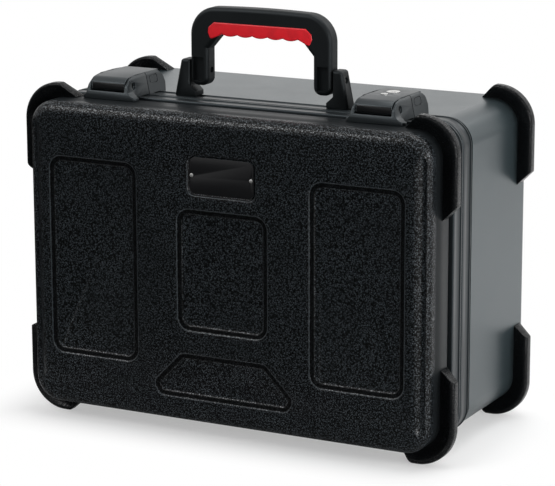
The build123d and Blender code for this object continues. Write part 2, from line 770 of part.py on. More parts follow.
def main():
    os.makedirs("parts", exist_ok=True)
    rivets_lid = hinge_rivets(-1)
    rivets_base = hinge_rivets(1)
    save("lid_shell", lid_shell() - badge_rivets())
    save("badge_plate", badge_plate() - badge_rivets())
    save("badge_rivets", badge_rivets())
    save("lid_valance", lid_valance() - rivets_lid)
    save("base_valance", base_valance() - rivets_base - bracket_screws())
    save("gasket", gasket())
    save("base_shell", base_shell() - bracket_screws())
    guards("front", guard_front_y)
    guards("rear", guard_rear_y)
    for side, name in ((-1, "left"), (1, "right")):
        x = side * hinge_x
        save(f"hinge_leaf_base_{name}", hinge_leaf_body(x, 1, (-1.5, 0.5)) - rivets_base)
        save(f"hinge_leaf_lid_{name}", hinge_leaf_body(x, -1, (-0.5,)) - rivets_lid)
        save(f"handle_bracket_{name}", handle_bracket(side) - bracket_screws())
        latch = side * latch_x
        save(f"latch_base_{name}", latch_base(latch))
        save(f"latch_pin_{name}", latch_pin(latch))
        save(f"latch_keeper_{name}", keeper(latch))
        save(f"lever_{name}", lever(latch, side > 0))
        save(f"lever_front_{name}", lever_front(latch))
        save(f"claw_{name}", claw(latch))
        save(f"claw_pin_{name}", claw_pin(latch))
    save("hinge_pins", hinge_pins())
    save("hinge_rivets_lid", rivets_lid)
    save("hinge_rivets_base", rivets_base)
    save("handle_frame", handle_frame())
    save("handle_grip", handle_grip())
    save("handle_pins", handle_pins())
    save("bracket_screws", bracket_screws())
    save("lock_cylinder", lock_cylinder(latch_x))
    save("lock_button", lock_button(latch_x))
    for name, shape in foam_layout().items():
        save(name, shape)


if __name__ == "__main__":
    main()
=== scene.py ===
import json
import math

import bpy
from mathutils import Euler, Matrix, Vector


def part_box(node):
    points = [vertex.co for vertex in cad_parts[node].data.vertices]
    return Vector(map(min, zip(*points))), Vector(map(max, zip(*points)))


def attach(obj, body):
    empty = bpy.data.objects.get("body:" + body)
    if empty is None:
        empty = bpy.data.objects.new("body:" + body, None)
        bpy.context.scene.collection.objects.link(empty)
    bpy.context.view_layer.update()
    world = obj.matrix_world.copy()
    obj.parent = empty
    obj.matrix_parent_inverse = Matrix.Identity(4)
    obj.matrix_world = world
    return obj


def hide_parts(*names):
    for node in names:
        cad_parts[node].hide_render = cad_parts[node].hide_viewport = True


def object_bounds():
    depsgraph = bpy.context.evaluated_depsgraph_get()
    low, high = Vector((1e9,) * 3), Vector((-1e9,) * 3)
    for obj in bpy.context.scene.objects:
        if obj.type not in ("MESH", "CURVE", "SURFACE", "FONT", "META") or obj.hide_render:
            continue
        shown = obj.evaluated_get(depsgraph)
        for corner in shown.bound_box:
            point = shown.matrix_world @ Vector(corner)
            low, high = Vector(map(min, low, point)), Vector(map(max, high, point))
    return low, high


bl_info = {
    "name": "Microphone case",
    "version": (1, 0, 0),
    "blender": (4, 5, 0),
    "location": "3D View > Sidebar > Microphone case",
    "description": "Finishes for a moulded microphone case with guards, latches, handle and foam",
    "category": "Object",
}

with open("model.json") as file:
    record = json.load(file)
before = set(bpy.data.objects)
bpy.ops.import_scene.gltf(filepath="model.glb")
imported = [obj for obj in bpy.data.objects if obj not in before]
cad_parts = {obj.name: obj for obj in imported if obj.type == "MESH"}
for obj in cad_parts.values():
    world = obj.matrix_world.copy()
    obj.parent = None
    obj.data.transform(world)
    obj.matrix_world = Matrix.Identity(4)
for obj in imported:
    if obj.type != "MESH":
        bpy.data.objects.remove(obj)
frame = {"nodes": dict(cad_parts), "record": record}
cad_low, cad_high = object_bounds()

SIDES = ("left", "right")
LEVELS = ("top", "bottom")
FOAM_BLOCKS = (
    "foam_rail_top",
    "foam_rail_bottom",
    "foam_wall_left",
    "foam_wall_middle",
    "foam_wall_right",
    "foam_shelf_lower",
    "foam_shelf_upper",
    "foam_partitions",
    "foam_back_pad",
)
# Rounding of the edges of thin pieces
PLATE_EDGE = 0.0003
RIVET_EDGE = 0.00025
LEVER_FRONT_EDGE = 0.0004
HINGE_EDGE = 0.0003
# Painted highlight on the panels' lips and painted shade on their ledges: the depths behind the lid's
# front where each fades in and out
PANEL_LIP_HIGHLIGHT = ((0.0001, 0.0003), (0.0006, 0.0009))
PANEL_LEDGE_SHADE = ((0.0007, 0.0011), (0.0014, 0.0019))
PANEL_BLUR = 0.002
# Floor: the distances over which it turns dark in front and at left, turns pale again at right,
# and fades into the white around the case
DARK_FRONT = (0.14, 0.3)
DARK_LEFT = (0.3, 0.5)
PALE_RIGHT = (0.25, 0.45)
FADE = (-0.02, 0.06)
# How white the floor is close to the case, and how much of its colour is left where it is dark
NEAR_WHITE = 0.3
DARK_SHARE = 0.04
# Half of the span in which the world's light turns from dim in front to white behind
LIGHT_TURN = 0.45


# Sizes and colours that a user would change


def colour_property(name, description, red, green, blue):
    return bpy.props.FloatVectorProperty(
        name=name,
        description=description,
        subtype="COLOR",
        size=3,
        min=0,
        max=1,
        default=(red, green, blue),
    )


def length_property(name, description, metres):
    return bpy.props.FloatProperty(
        name=name,
        description=description,
        subtype="DISTANCE",
        unit="LENGTH",
        min=0,
        precision=5,
        default=metres,
    )


def share_property(name, description, value):
    return bpy.props.FloatProperty(
        name=name,
        description=description,
        subtype="FACTOR",
        min=0,
        max=1,
        default=value,
    )


def angle_property(name, description, degrees):
    return bpy.props.FloatProperty(
        name=name,
        description=description,
        subtype="ANGLE",
        default=math.radians(degrees),
    )


def group_property(name, description, group):
    return bpy.props.PointerProperty(type=group, name=name, description=description)


class ShellSettings(bpy.types.PropertyGroup):
    """The moulded shells and their corner guards."""

    lid_colour: colour_property("Lid", "Colour of the grained lid", 0.0030, 0.0036, 0.0041)
    smooth_colour: colour_property("Lid sides", "Colour of the lid's smooth sides", 0.008, 0.0095, 0.0105)
    base_colour: colour_property("Base", "Colour of the smooth base", 0.021, 0.029, 0.032)
    guard_colour: colour_property("Guards", "Colour of the corner guards", 0.004, 0.0046, 0.0052)
    grain: length_property("Grain", "Width of one pebble of the lid's grain", 0.0017)
    grain_height: length_property("Grain height", "Height of the lid's grain", 0.0006)
    grain_end: length_property("Grain end", "How far behind the lid's front the grain stops", 0.0165)
    band: length_property("Band", "How far behind the lid's front the polished band begins", 0.031)
    panel_side: length_property("Panel sides", "How far out from the middle the panels reach", 0.197)
    panel_top: length_property("Panel top", "Height of the panels' upper edges", 0.274)
    panel_bottom: length_property("Panel bottom", "Height of the panels' lower edges", 0.036)
    dull_edge: length_property("Dull edge", "Height under which the lid's front is dull", 0.034)
    softness: length_property("Edges", "Rounding of the moulded edges", 0.0008)
    guard_softness: length_property("Guard edges", "Rounding of the guards' edges", 0.0009)


class MetalSettings(bpy.types.PropertyGroup):
    """The valances, hinges, pins and screws."""

    valance_colour: colour_property("Valances", "Colour of the anodised frame", 0.0072, 0.0088, 0.0098)
    steel_colour: colour_property("Steel", "Colour of pins and rivets", 0.56, 0.56, 0.55)
    nickel_colour: colour_property("Nickel", "Colour of the lock", 0.72, 0.71, 0.69)
    black_colour: colour_property("Blacked steel", "Colour of hinges and screws", 0.018, 0.018, 0.019)
    softness: length_property("Edges", "Rounding of the frame's edges", 0.0005)


class FittingSettings(bpy.types.PropertyGroup):
    """The handle, its grip and the latches."""

    handle_colour: colour_property("Handle", "Colour of the handle", 0.0035, 0.0041, 0.0045)
    grip_colour: colour_property("Grip", "Colour of the soft grip", 0.78, 0.0145, 0.025)
    latch_colour: colour_property("Latches", "Colour of the latches", 0.013, 0.0155, 0.017)
    plate_colour: colour_property("Plate", "Colour of the plain badge plate", 0.004, 0.0042, 0.0048)
    softness: length_property("Edges", "Rounding of the latches' edges", 0.0006)
    bracket_softness: length_property("Bracket edges", "Rounding of the handle's brackets", 0.0007)
    grip_softness: length_property("Grip edges", "Rounding of the grip's edges", 0.0005)


class FoamSettings(bpy.types.PropertyGroup):
    """The foam in the base and the lid."""

    colour: colour_property("Foam", "Colour of the foam", 0.022, 0.023, 0.025)
    softness: length_property("Edges", "Rounding of the cut edges", 0.0022)
    pitch: length_property("Pitch", "Distance between the lid foam's peaks", 0.034)
    peak: length_property("Peaks", "Height of the lid foam's peaks", 0.012)
    edge: length_property("Lid gap", "Distance from the lid foam to its space's outline", 0.0054)


class StageSettings(bpy.types.PropertyGroup):
    """Camera, lamps and floor."""

    place: bpy.props.FloatVectorProperty(
        name="Camera",
        description="Place of the camera",
        subtype="XYZ",
        unit="LENGTH",
        default=(1.1542, -2.2226, 0.7676),
    )
    azimuth: angle_property("Azimuth", "Turn round the case", 27.47)
    elevation: angle_property("Elevation", "Angle above the horizon", 13.30)
    roll: angle_property("Roll", "Turn about the line of sight", -0.175)
    lens: bpy.props.FloatProperty(
        name="Lens", description="Focal length in millimetres", subtype="DISTANCE_CAMERA", default=166.1
    )
    floor_colour: colour_property("Floor", "Colour of the floor", 0.93, 0.93, 0.93)
    front_light: share_property("Front", "Brightness of the surroundings in front of the case", 0.06)


def settings():
    return bpy.context.scene.microphone_case


class CaseSettings(bpy.types.PropertyGroup):
    """Everything that can be set."""

    shells: group_property("Shells", "Shells and guards", ShellSettings)
    metals: group_property("Metals", "Frame and fasteners", MetalSettings)
    fittings: group_property("Fittings", "Handle and latches", FittingSettings)
    foam: group_property("Foam", "Foam in the base and the lid", FoamSettings)
    stage: group_property("Stage", "Camera and light", StageSettings)


# Shader nodes


class Wire:
    """A shader value that can be used in sums: 1 - mask * 0.2 adds its Math nodes."""

    def __init__(self, tree, socket):
        self.tree = tree
        self.socket = socket

    def reckon(self, operation, *values):
        node = self.tree.nodes.new("ShaderNodeMath")
        node.operation = operation
        for entry, value in zip(node.inputs, values):
            plug(self.tree, entry, value)
        return Wire(self.tree, node.outputs[0])

    def __add__(self, other):
        return self.reckon("ADD", self, other)

    def __sub__(self, other):
        return self.reckon("SUBTRACT", self, other)

    def __rsub__(self, other):
        return self.reckon("SUBTRACT", other, self)

    def __mul__(self, other):
        return self.reckon("MULTIPLY", self, other)

    def __truediv__(self, other):
        return self.reckon("DIVIDE", self, other)

    def __pow__(self, other):
        return self.reckon("POWER", self, other)

    __radd__ = __add__
    __rmul__ = __mul__


def plug(tree, entry, value):
    """Sets a socket to a plain value, or links it to a wire."""
    if isinstance(value, Wire):
        tree.links.new(value.socket, entry)
    else:
        entry.default_value = value


class Finish:
    """A material that is being built on one Principled shader."""

    def __init__(self, name, **constants):
        self.material = bpy.data.materials.new(name)
        self.material.use_nodes = True
        self.tree = self.material.node_tree
        self.shader = self.tree.nodes["Principled BSDF"]
        self.place = self.add("ShaderNodeTexCoord", output="Object")
        for entry, value in constants.items():
            self.shader.inputs[entry.replace("_", " ")].default_value = value

    def add(self, kind, setup=None, output=0, **values):
        """Adds a node; setup is set on the node first, then values on its sockets."""
        node = self.tree.nodes.new(kind)
        for name, value in (setup or {}).items():
            setattr(node, name, value)
        for name, value in values.items():
            plug(self.tree, node.inputs[name], value)
        return Wire(self.tree, node.outputs[output])

    def noise(self, size, detail=2.0, roughness=0.5):
        """Soft random spots of about the given size in metres, from 0 to 1."""
        return self.add(
            "ShaderNodeTexNoise", Vector=self.place, Scale=1 / size, Detail=detail, Roughness=roughness
        )

    def pebbles(self, size, smoothness=0.4):
        """Rounded bumps of the given size, high in their middles."""
        gap = self.add(
            "ShaderNodeTexVoronoi",
            {"feature": "SMOOTH_F1"},
            output="Distance",
            Vector=self.place,
            Scale=1 / size,
            Smoothness=smoothness,
        )
        return 1 - gap

    def along(self, axis):
        node = self.tree.nodes.new("ShaderNodeSeparateXYZ")
        plug(self.tree, node.inputs[0], self.place)
        return Wire(self.tree, node.outputs[axis])

    def step(self, value, low, high):
        """0 below low, 1 above high, smooth between."""
        setup = {"interpolation_type": "SMOOTHSTEP"}
        limits = {"From Min": low, "From Max": high}
        return self.add("ShaderNodeMapRange", setup, Value=value, **limits)

    def between(self, value, begin, end):
        """1 between two pairs of limits, smooth inside each pair."""
        return self.step(value, *begin) * (1 - self.step(value, *end))

    def blend(self, factor, colour_a, colour_b):
        node = self.tree.nodes.new("ShaderNodeMix")
        node.data_type = "RGBA"
        plug(self.tree, node.inputs[0], factor)
        for entry, colour in zip((6, 7), (colour_a, colour_b)):
            value = colour if isinstance(colour, Wire) else (*colour, 1)
            plug(self.tree, node.inputs[entry], value)
        return Wire(self.tree, node.outputs[2])

    def bump(self, height, distance):
        """Raises the surface by up to the given distance."""
        normal = self.add("ShaderNodeBump", output="Normal", Height=height, Distance=distance)
        plug(self.tree, self.shader.inputs["Normal"], normal)

    def surface(self, **values):
        for entry, value in values.items():
            plug(self.tree, self.shader.inputs[entry.replace("_", " ")], value)
        return self.material


def shade(colour, factor):
    """A colour made lighter or darker by a factor."""
    return tuple(channel * factor for channel in colour)


# Finishes


def over_panels(make, shells):
    """1 over the lid's panels, 0 over its roll and sides."""
    side = make.along("X")
    side = side.reckon("ABSOLUTE", side)
    height = make.along("Z")
    inner = 1 - make.step(side, shells.panel_side, shells.panel_side + PANEL_BLUR)
    under = 1 - make.step(height, shells.panel_top, shells.panel_top + PANEL_BLUR)
    return inner * under * make.step(height, shells.panel_bottom - PANEL_BLUR, shells.panel_bottom)


def grained_plastic():
    """Coarse pebble grain on the lid's front and roll, with dull sides and a polished band behind.

    The grain's peaks carry painted glints and its pits painted shade. The panels' borders have a painted
    highlight on their lips and painted shade, with fewer glints, on the ledges inside them.
    """
    shells = settings().shells
    make = Finish("grained_lid_plastic", Specular_IOR_Level=0.04, Coat_Roughness=0.24)
    from_front = make.along("Y") - cad_low.y
    grained = 1 - make.step(from_front, shells.grain_end * 0.75, shells.grain_end * 1.15)
    polished = make.step(from_front, shells.band * 0.75, shells.band * 1.15)
    pebbles = make.pebbles(shells.grain)
    fine = make.noise(shells.grain * 0.36)
    make.bump(pebbles * (grained * 0.6) + fine * (grained * 0.4 + 0.02), shells.grain_height)
    worn = make.noise(0.07, detail=4.0)
    peaks = make.step(pebbles * 0.3 + fine * 0.7, 0.5, 0.66)
    panels = over_panels(make, shells)
    lip_highlight = make.between(from_front, *PANEL_LIP_HIGHLIGHT) * panels
    ledge_shade = make.between(from_front, *PANEL_LEDGE_SHADE) * panels
    # Painted glints and painted shade: the grain's peaks are made far lighter than the lid's colour and
    # its pits darker
    tone = make.blend(peaks, shade(shells.lid_colour, 0.25), shade(shells.lid_colour, 20.0))
    tone = make.blend(make.step(worn, 0.35, 0.75) * 0.3, tone, shade(shells.lid_colour, 1.8))
    # Painted highlight: the panels' lips are made lighter
    tone = make.blend(lip_highlight * 0.7, tone, shade(shells.lid_colour, 12.0))
    # Painted shade: the ledges inside the panels' borders are made darker
    tone = make.blend(ledge_shade * 0.85, tone, shade(shells.lid_colour, 0.2))
    tone = make.blend(grained, shells.smooth_colour, tone)
    above_edge = 0.3 + make.step(make.along("Z"), shells.dull_edge, shells.dull_edge + 0.012) * 0.7
    glints = grained * (0.1 + peaks * 1.1) * (1 - ledge_shade * 0.85) * above_edge
    coat = glints + (1 - grained) * 0.03 + polished * 0.07
    rough = 0.48 - grained * 0.1 - polished * 0.18 + fine * 0.1
    return make.surface(Base_Color=tone, Roughness=rough, Coat_Weight=coat)


def satin_plastic(name, colour, roughness=0.4, grain=0.0007, height=0.00004, mottle=0.25, shine=0.5):
    """Smooth moulded plastic with a fine eggshell grain and faint cloudy patches."""
    make = Finish(name, Specular_IOR_Level=shine, Specular_Tint=(0.85, 0.95, 1.0, 1.0))
    fine = make.noise(grain)
    cloud = make.noise(0.035, detail=3.0)
    make.bump(fine, height)
    tone = make.blend(make.step(cloud, 0.3, 0.7) * mottle, colour, shade(colour, 1.5))
    rough = roughness + (cloud - 0.5) * 0.08 + (fine - 0.5) * 0.06
    return make.surface(Base_Color=tone, Roughness=rough)


def guard_plastic():
    """Black moulding with small glints on its pebbles and a few pale scuffs."""
    shells = settings().shells
    make = Finish("guard_plastic", Specular_IOR_Level=0.07, Coat_Roughness=0.16)
    pebbles = make.pebbles(0.0013)
    peaks = make.step(pebbles * 0.5 + make.noise(0.0012) * 0.5, 0.52, 0.64)
    make.bump(pebbles + make.noise(0.0005) * 0.3, 0.0002)
    scuff = make.step(make.noise(0.004, detail=6.0, roughness=0.7), 0.62, 0.7)
    tone = make.blend(scuff * 0.5, shells.guard_colour, shade(shells.guard_colour, 3.0))
    rough = 0.24 + scuff * 0.2 + pebbles * 0.05
    return make.surface(Base_Color=tone, Roughness=rough, Coat_Weight=peaks * 0.55)


def anodised():
    """Black anodised aluminium, drawn along the extrusion."""
    metals = settings().metals
    tint = (0.8, 0.93, 1.0, 1.0)
    make = Finish("black_anodised_aluminium", Specular_IOR_Level=0.28, Specular_Tint=tint)
    stretched = make.add("ShaderNodeMapping", Vector=make.place, Scale=(1, 30, 1))
    lines = make.add("ShaderNodeTexNoise", Vector=stretched, Scale=90.0, Detail=3.0)
    make.bump(lines, 0.00002)
    tone = make.blend(lines, metals.valance_colour, shade(metals.valance_colour, 1.5))
    return make.surface(Base_Color=tone, Roughness=0.27 + lines * 0.1)


def bright_metal(name, colour, roughness):
    """Polished metal with a fine swirl and darker stains."""
    make = Finish(name, Metallic=1.0)
    swirl = make.noise(0.0009, detail=3.0)
    stain = make.noise(0.004, detail=3.0)
    make.bump(swirl, 0.00001)
    tone = make.blend(make.step(stain, 0.4, 0.75) * 0.4, colour, shade(colour, 0.6))
    return make.surface(Base_Color=tone, Roughness=roughness + swirl * 0.12)


def blacked_steel():
    """Black coated steel, bare in a few small chips."""
    metals = settings().metals
    make = Finish("blacked_steel")
    coat = make.noise(0.0008, detail=3.0)
    chip = make.step(make.noise(0.003, detail=5.0, roughness=0.65), 0.66, 0.69)
    make.bump(coat - chip * 0.6, 0.00003)
    tone = make.blend(chip * 0.6, metals.black_colour, (0.18, 0.18, 0.19))
    return make.surface(Base_Color=tone, Roughness=0.42 + coat * 0.1, Metallic=chip * 0.8)


def glossy_black():
    """The polished fronts of the latches' levers."""
    fittings = settings().fittings
    make = Finish("glossy_black_plastic", Specular_IOR_Level=0.2, Coat_Roughness=0.06)
    wipe = make.noise(0.008, detail=4.0)
    make.bump(make.noise(0.002), 0.000006)
    tone = make.blend(wipe, fittings.plate_colour, shade(fittings.plate_colour, 0.6))
    return make.surface(Base_Color=tone, Roughness=0.12 + wipe * 0.12, Coat_Weight=0.1 + wipe * 0.1)


def plate_finish():
    """The bare plate: satin black with a faint brushed direction."""
    fittings = settings().fittings
    make = Finish("plain_plate", Specular_IOR_Level=0.25)
    stretched = make.add("ShaderNodeMapping", Vector=make.place, Scale=(1, 1, 12))
    lines = make.add("ShaderNodeTexNoise", Vector=stretched, Scale=260.0, Detail=2.0)
    make.bump(lines, 0.00001)
    tone = make.blend(lines * 0.6, fittings.plate_colour, shade(fittings.plate_colour, 1.7))
    return make.surface(Base_Color=tone, Roughness=0.30 + lines * 0.12)


def soft_red():
    """The rubbery red of the finger grip, a little darker where it is worn."""
    fittings = settings().fittings
    make = Finish("soft_red_grip", Specular_IOR_Level=0.45)
    fine = make.noise(0.0006)
    worn = make.noise(0.012, detail=3.0)
    make.bump(fine, 0.00003)
    handled = make.step(worn, 0.35, 0.7) * 0.5
    tone = make.blend(handled, fittings.grip_colour, shade(fittings.grip_colour, 0.72))
    return make.surface(Base_Color=tone, Roughness=0.30 + worn * 0.12 + fine * 0.06)


def seal_rubber():
    """Matt black rubber."""
    make = Finish("black_rubber")
    fine = make.noise(0.0008)
    make.bump(fine, 0.00004)
    tone = make.blend(fine, (0.012, 0.012, 0.012), (0.02, 0.02, 0.02))
    return make.surface(Base_Color=tone, Roughness=0.6 + fine * 0.2)


def open_foam():
    """Charcoal foam with open cells, and painted shade in the low borders between the cells."""
    foam = settings().foam
    make = Finish("charcoal_foam", Specular_IOR_Level=0.15, Sheen_Weight=0.25, Sheen_Roughness=0.6)
    cells = make.pebbles(0.0014, smoothness=0.2)
    coarse = make.noise(0.006, detail=3.0)
    make.bump(cells + coarse * 0.5, 0.0006)
    cell_tops = make.step(cells, 0.35, 0.8)
    # Painted shade: the low borders between the foam's cells are darkened
    tone = make.blend(cell_tops, shade(foam.colour, 0.35), foam.colour)
    tone = make.blend(make.step(coarse, 0.4, 0.7) * 0.3, tone, shade(foam.colour, 1.5))
    return make.surface(Base_Color=tone, Roughness=0.9 - cell_tops * 0.1)


# Mesh helpers


def start_alone(piece=None):
    """Leaves only one object selected and active, or none."""
    bpy.ops.object.select_all(action="DESELECT")
    bpy.context.view_layer.objects.active = piece
    if piece is not None:
        piece.select_set(True)


def body_of(node):
    """The moving body that a node belongs to."""
    bodies = frame["record"]["behaviour"]["bodies"]
    return next(body for body, nodes in bodies.items() if node in nodes)


def paint(piece, material):
    piece.data.materials.clear()
    piece.data.materials.append(material)


def paint_nodes(nodes, material):
    """Gives the nodes' own solids a finish."""
    for node in nodes:
        paint(frame["nodes"][node], material)


def apply_modifier(piece, kind, **values):
    start_alone(piece)
    modifier = piece.modifiers.new(kind.lower(), kind)
    for name, value in values.items():
        setattr(modifier, name, value)
    bpy.ops.object.modifier_apply(modifier=modifier.name)


def rounded_copy(node, width, segments=2, angle=28.0):
    """A copy of a piece with its sharp edges rounded, which stands for the piece."""
    source = frame["nodes"][node]
    piece = bpy.data.objects.new(f"{node}_rounded", source.data.copy())
    bpy.context.scene.collection.objects.link(piece)
    start_alone(piece)
    bpy.ops.mesh.customdata_custom_splitnormals_clear()
    bpy.ops.object.mode_set(mode="EDIT")
    bpy.ops.mesh.select_all(action="SELECT")
    bpy.ops.mesh.remove_doubles(threshold=0.00001)
    bpy.ops.mesh.dissolve_limited(angle_limit=math.radians(0.4))
    bpy.ops.object.mode_set(mode="OBJECT")
    apply_modifier(
        piece,
        "BEVEL",
        width=width,
        segments=segments,
        limit_method="ANGLE",
        angle_limit=math.radians(angle),
        use_clamp_overlap=False,
        miter_outer="MITER_ARC",
    )
    start_alone(piece)
    bpy.ops.object.shade_smooth_by_angle(angle=math.radians(35))
    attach(piece, body_of(node))
    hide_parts(node)
    return piece


def peaked_sheet(name, low, high, foam):
    """A foam sheet between two corners, with rows of soft peaks on its rear face."""
    width = high.x - low.x - 2 * foam.edge
    height = high.z - low.z - 2 * foam.edge
    columns = 2 * round(width / foam.pitch)
    rows = 2 * round(height / foam.pitch)
    middle = Vector(((low.x + high.x) / 2, high.y - foam.peak, (low.z + high.z) / 2))
    start_alone()
    bpy.ops.mesh.primitive_grid_add(
        x_subdivisions=columns,
        y_subdivisions=rows,
        size=1,
        location=middle,
        rotation=(-math.pi / 2, 0, 0),
    )
    piece = bpy.context.active_object
    piece.name = name
    piece.scale = (width, height, 1)
    bpy.ops.object.transform_apply(location=True, rotation=True, scale=True)
    step_x = width / columns
    step_z = height / rows
    bpy.ops.object.mode_set(mode="EDIT")
    bpy.ops.mesh.select_all(action="DESELECT")
    bpy.ops.object.mode_set(mode="OBJECT")
    for vertex in piece.data.vertices:
        column = round((vertex.co.x - low.x - foam.edge) / step_x)
        row = round((vertex.co.z - low.z - foam.edge) / step_z)
        inside = 0 < column < columns and 0 < row < rows
        vertex.select = inside and column % 2 == 1 and row % 2 == 1
    bpy.ops.object.mode_set(mode="EDIT")
    bpy.ops.mesh.select_mode(type="VERT")
    # Smoothing takes off about half of the height that the peaks are given here
    bpy.ops.transform.translate(value=(0, foam.peak * 2.1, 0))
    bpy.ops.mesh.select_all(action="DESELECT")
    bpy.ops.mesh.select_mode(type="EDGE")
    bpy.ops.mesh.select_non_manifold()
    back = low.y - (high.y - foam.peak)
    bpy.ops.mesh.extrude_region_move(TRANSFORM_OT_translate={"value": (0, back, 0)})
    bpy.ops.mesh.edge_face_add()
    bpy.ops.object.mode_set(mode="OBJECT")
    apply_modifier(piece, "SUBSURF", levels=2, render_levels=2)
    start_alone(piece)
    bpy.ops.object.mode_set(mode="EDIT")
    bpy.ops.mesh.select_all(action="SELECT")
    bpy.ops.mesh.normals_make_consistent(inside=False)
    bpy.ops.object.mode_set(mode="OBJECT")
    bpy.ops.object.shade_smooth()
    return piece


# Operators


class CASE_OT_shells(bpy.types.Operator):
    """Lid and base shells with their moulded grain."""

    bl_idname = "miccase.shells"
    bl_label = "Shells"

    def execute(self, context):
        shells = settings().shells
        lid = rounded_copy("lid_shell", shells.softness, segments=3, angle=38.0)
        paint(lid, grained_plastic())
        smooth = satin_plastic(
            "smooth_base_plastic",
            shells.base_colour,
            roughness=0.3,
            grain=0.0011,
            height=0.0001,
            mottle=0.1,
        )
        paint_nodes(["base_shell"], smooth)
        return {"FINISHED"}


class CASE_OT_badge(bpy.types.Operator):
    """The bare badge plate and its two rivets."""

    bl_idname = "miccase.badge"
    bl_label = "Badge plate"

    def execute(self, context):
        paint(rounded_copy("badge_plate", PLATE_EDGE), plate_finish())
        steel = bright_metal("badge_rivet_steel", settings().metals.steel_colour, roughness=0.3)
        paint(rounded_copy("badge_rivets", RIVET_EDGE), steel)
        return {"FINISHED"}


class CASE_OT_valances(bpy.types.Operator):
    """The two aluminium extrusions and the seal between them."""

    bl_idname = "miccase.valances"
    bl_label = "Valances and seal"

    def execute(self, context):
        material = anodised()
        for node in ("lid_valance", "base_valance"):
            paint(rounded_copy(node, settings().metals.softness), material)
        paint_nodes(["gasket"], seal_rubber())
        return {"FINISHED"}


class CASE_OT_guards(bpy.types.Operator):
    """The eight corner guards."""

    bl_idname = "miccase.guards"
    bl_label = "Corner guards"

    def execute(self, context):
        material = guard_plastic()
        softness = settings().shells.guard_softness
        for prefix in ("front", "rear"):
            for level in LEVELS:
                for side in SIDES:
                    paint(rounded_copy(f"{prefix}_guard_{level}_{side}", softness), material)
        return {"FINISHED"}


class CASE_OT_handle(bpy.types.Operator):
    """Handle, grip, brackets, pins and screws."""

    bl_idname = "miccase.handle"
    bl_label = "Handle"

    def execute(self, context):
        fittings = settings().fittings
        black = satin_plastic(
            "handle_plastic",
            fittings.handle_colour,
            roughness=0.46,
            grain=0.0006,
            height=0.00003,
            shine=0.18,
        )
        paint_nodes(["handle_frame"], black)
        for side in SIDES:
            paint(rounded_copy(f"handle_bracket_{side}", fittings.bracket_softness), black)
        paint(rounded_copy("handle_grip", fittings.grip_softness), soft_red())
        steel = bright_metal("handle_pin_steel", settings().metals.steel_colour, roughness=0.32)
        paint_nodes(["handle_pins"], steel)
        paint_nodes(["bracket_screws"], blacked_steel())
        return {"FINISHED"}


class CASE_OT_latches(bpy.types.Operator):
    """Both latches with their levers, claws, keepers and the lock."""

    bl_idname = "miccase.latches"
    bl_label = "Latches"

    def execute(self, context):
        fittings = settings().fittings
        metals = settings().metals
        satin = satin_plastic(
            "latch_plastic",
            fittings.latch_colour,
            roughness=0.36,
            grain=0.0008,
            height=0.00003,
            shine=0.34,
        )
        gloss = glossy_black()
        steel = bright_metal("latch_pin_steel", metals.steel_colour, roughness=0.3)
        # Painted shade: the latch pins are made near black so that the eyes they sit in read as dark
        # holes
        pin_shade_colour = shade(fittings.plate_colour, 0.3)
        shadowed = satin_plastic("latch_pin_painted_shade", pin_shade_colour, roughness=0.6, shine=0.1)
        black_steel = blacked_steel()
        for side in SIDES:
            for node in (f"latch_base_{side}", f"lever_{side}"):
                paint(rounded_copy(node, fittings.softness, segments=3), satin)
            paint_nodes([f"latch_keeper_{side}"], satin)
            paint(rounded_copy(f"lever_front_{side}", LEVER_FRONT_EDGE), gloss)
            paint_nodes([f"claw_{side}"], black_steel)
            paint_nodes([f"latch_pin_{side}"], shadowed)
            paint_nodes([f"claw_pin_{side}"], steel)
        nickel = bright_metal("lock_nickel", metals.nickel_colour, roughness=0.2)
        paint_nodes(["lock_cylinder"], nickel)
        paint_nodes(["lock_button"], steel)
        return {"FINISHED"}


class CASE_OT_hinges(bpy.types.Operator):
    """The hinges under the case."""

    bl_idname = "miccase.hinges"
    bl_label = "Hinges"

    def execute(self, context):
        black_steel = blacked_steel()
        for side in SIDES:
            for part in ("base", "lid"):
                paint(rounded_copy(f"hinge_leaf_{part}_{side}", HINGE_EDGE), black_steel)
        paint_nodes(["hinge_rivets_lid", "hinge_rivets_base"], black_steel)
        steel = bright_metal("hinge_pin_steel", settings().metals.steel_colour, roughness=0.3)
        paint_nodes(["hinge_pins"], steel)
        return {"FINISHED"}


class CASE_OT_foam(bpy.types.Operator):
    """The cut foam blocks in the base."""

    bl_idname = "miccase.foam"
    bl_label = "Foam blocks"

    def execute(self, context):
        material = open_foam()
        for node in FOAM_BLOCKS:
            piece = rounded_copy(node, settings().foam.softness, segments=3)
            paint(piece, material)
        return {"FINISHED"}


class CASE_OT_lid_foam(bpy.types.Operator):
    """The convoluted foam in the lid, with rows of soft peaks."""

    bl_idname = "miccase.lid_foam"
    bl_label = "Lid foam"

    def execute(self, context):
        low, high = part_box("lid_foam")
        piece = peaked_sheet("lid_foam_peaks", low, high, settings().foam)
        paint(piece, open_foam())
        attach(piece, "lid")
        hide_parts("lid_foam")
        return {"FINISHED"}


def area_lamp(name, place, target, size, power):
    """A soft rectangular lamp that points at a target."""
    lamp = bpy.data.lights.new(name, "AREA")
    lamp.shape = "RECTANGLE"
    lamp.size, lamp.size_y = size
    lamp.energy = power
    holder = bpy.data.objects.new(name, lamp)
    holder.location = place
    holder.rotation_euler = (Vector(target) - Vector(place)).to_track_quat("-Z", "Y").to_euler()
    bpy.context.scene.collection.objects.link(holder)


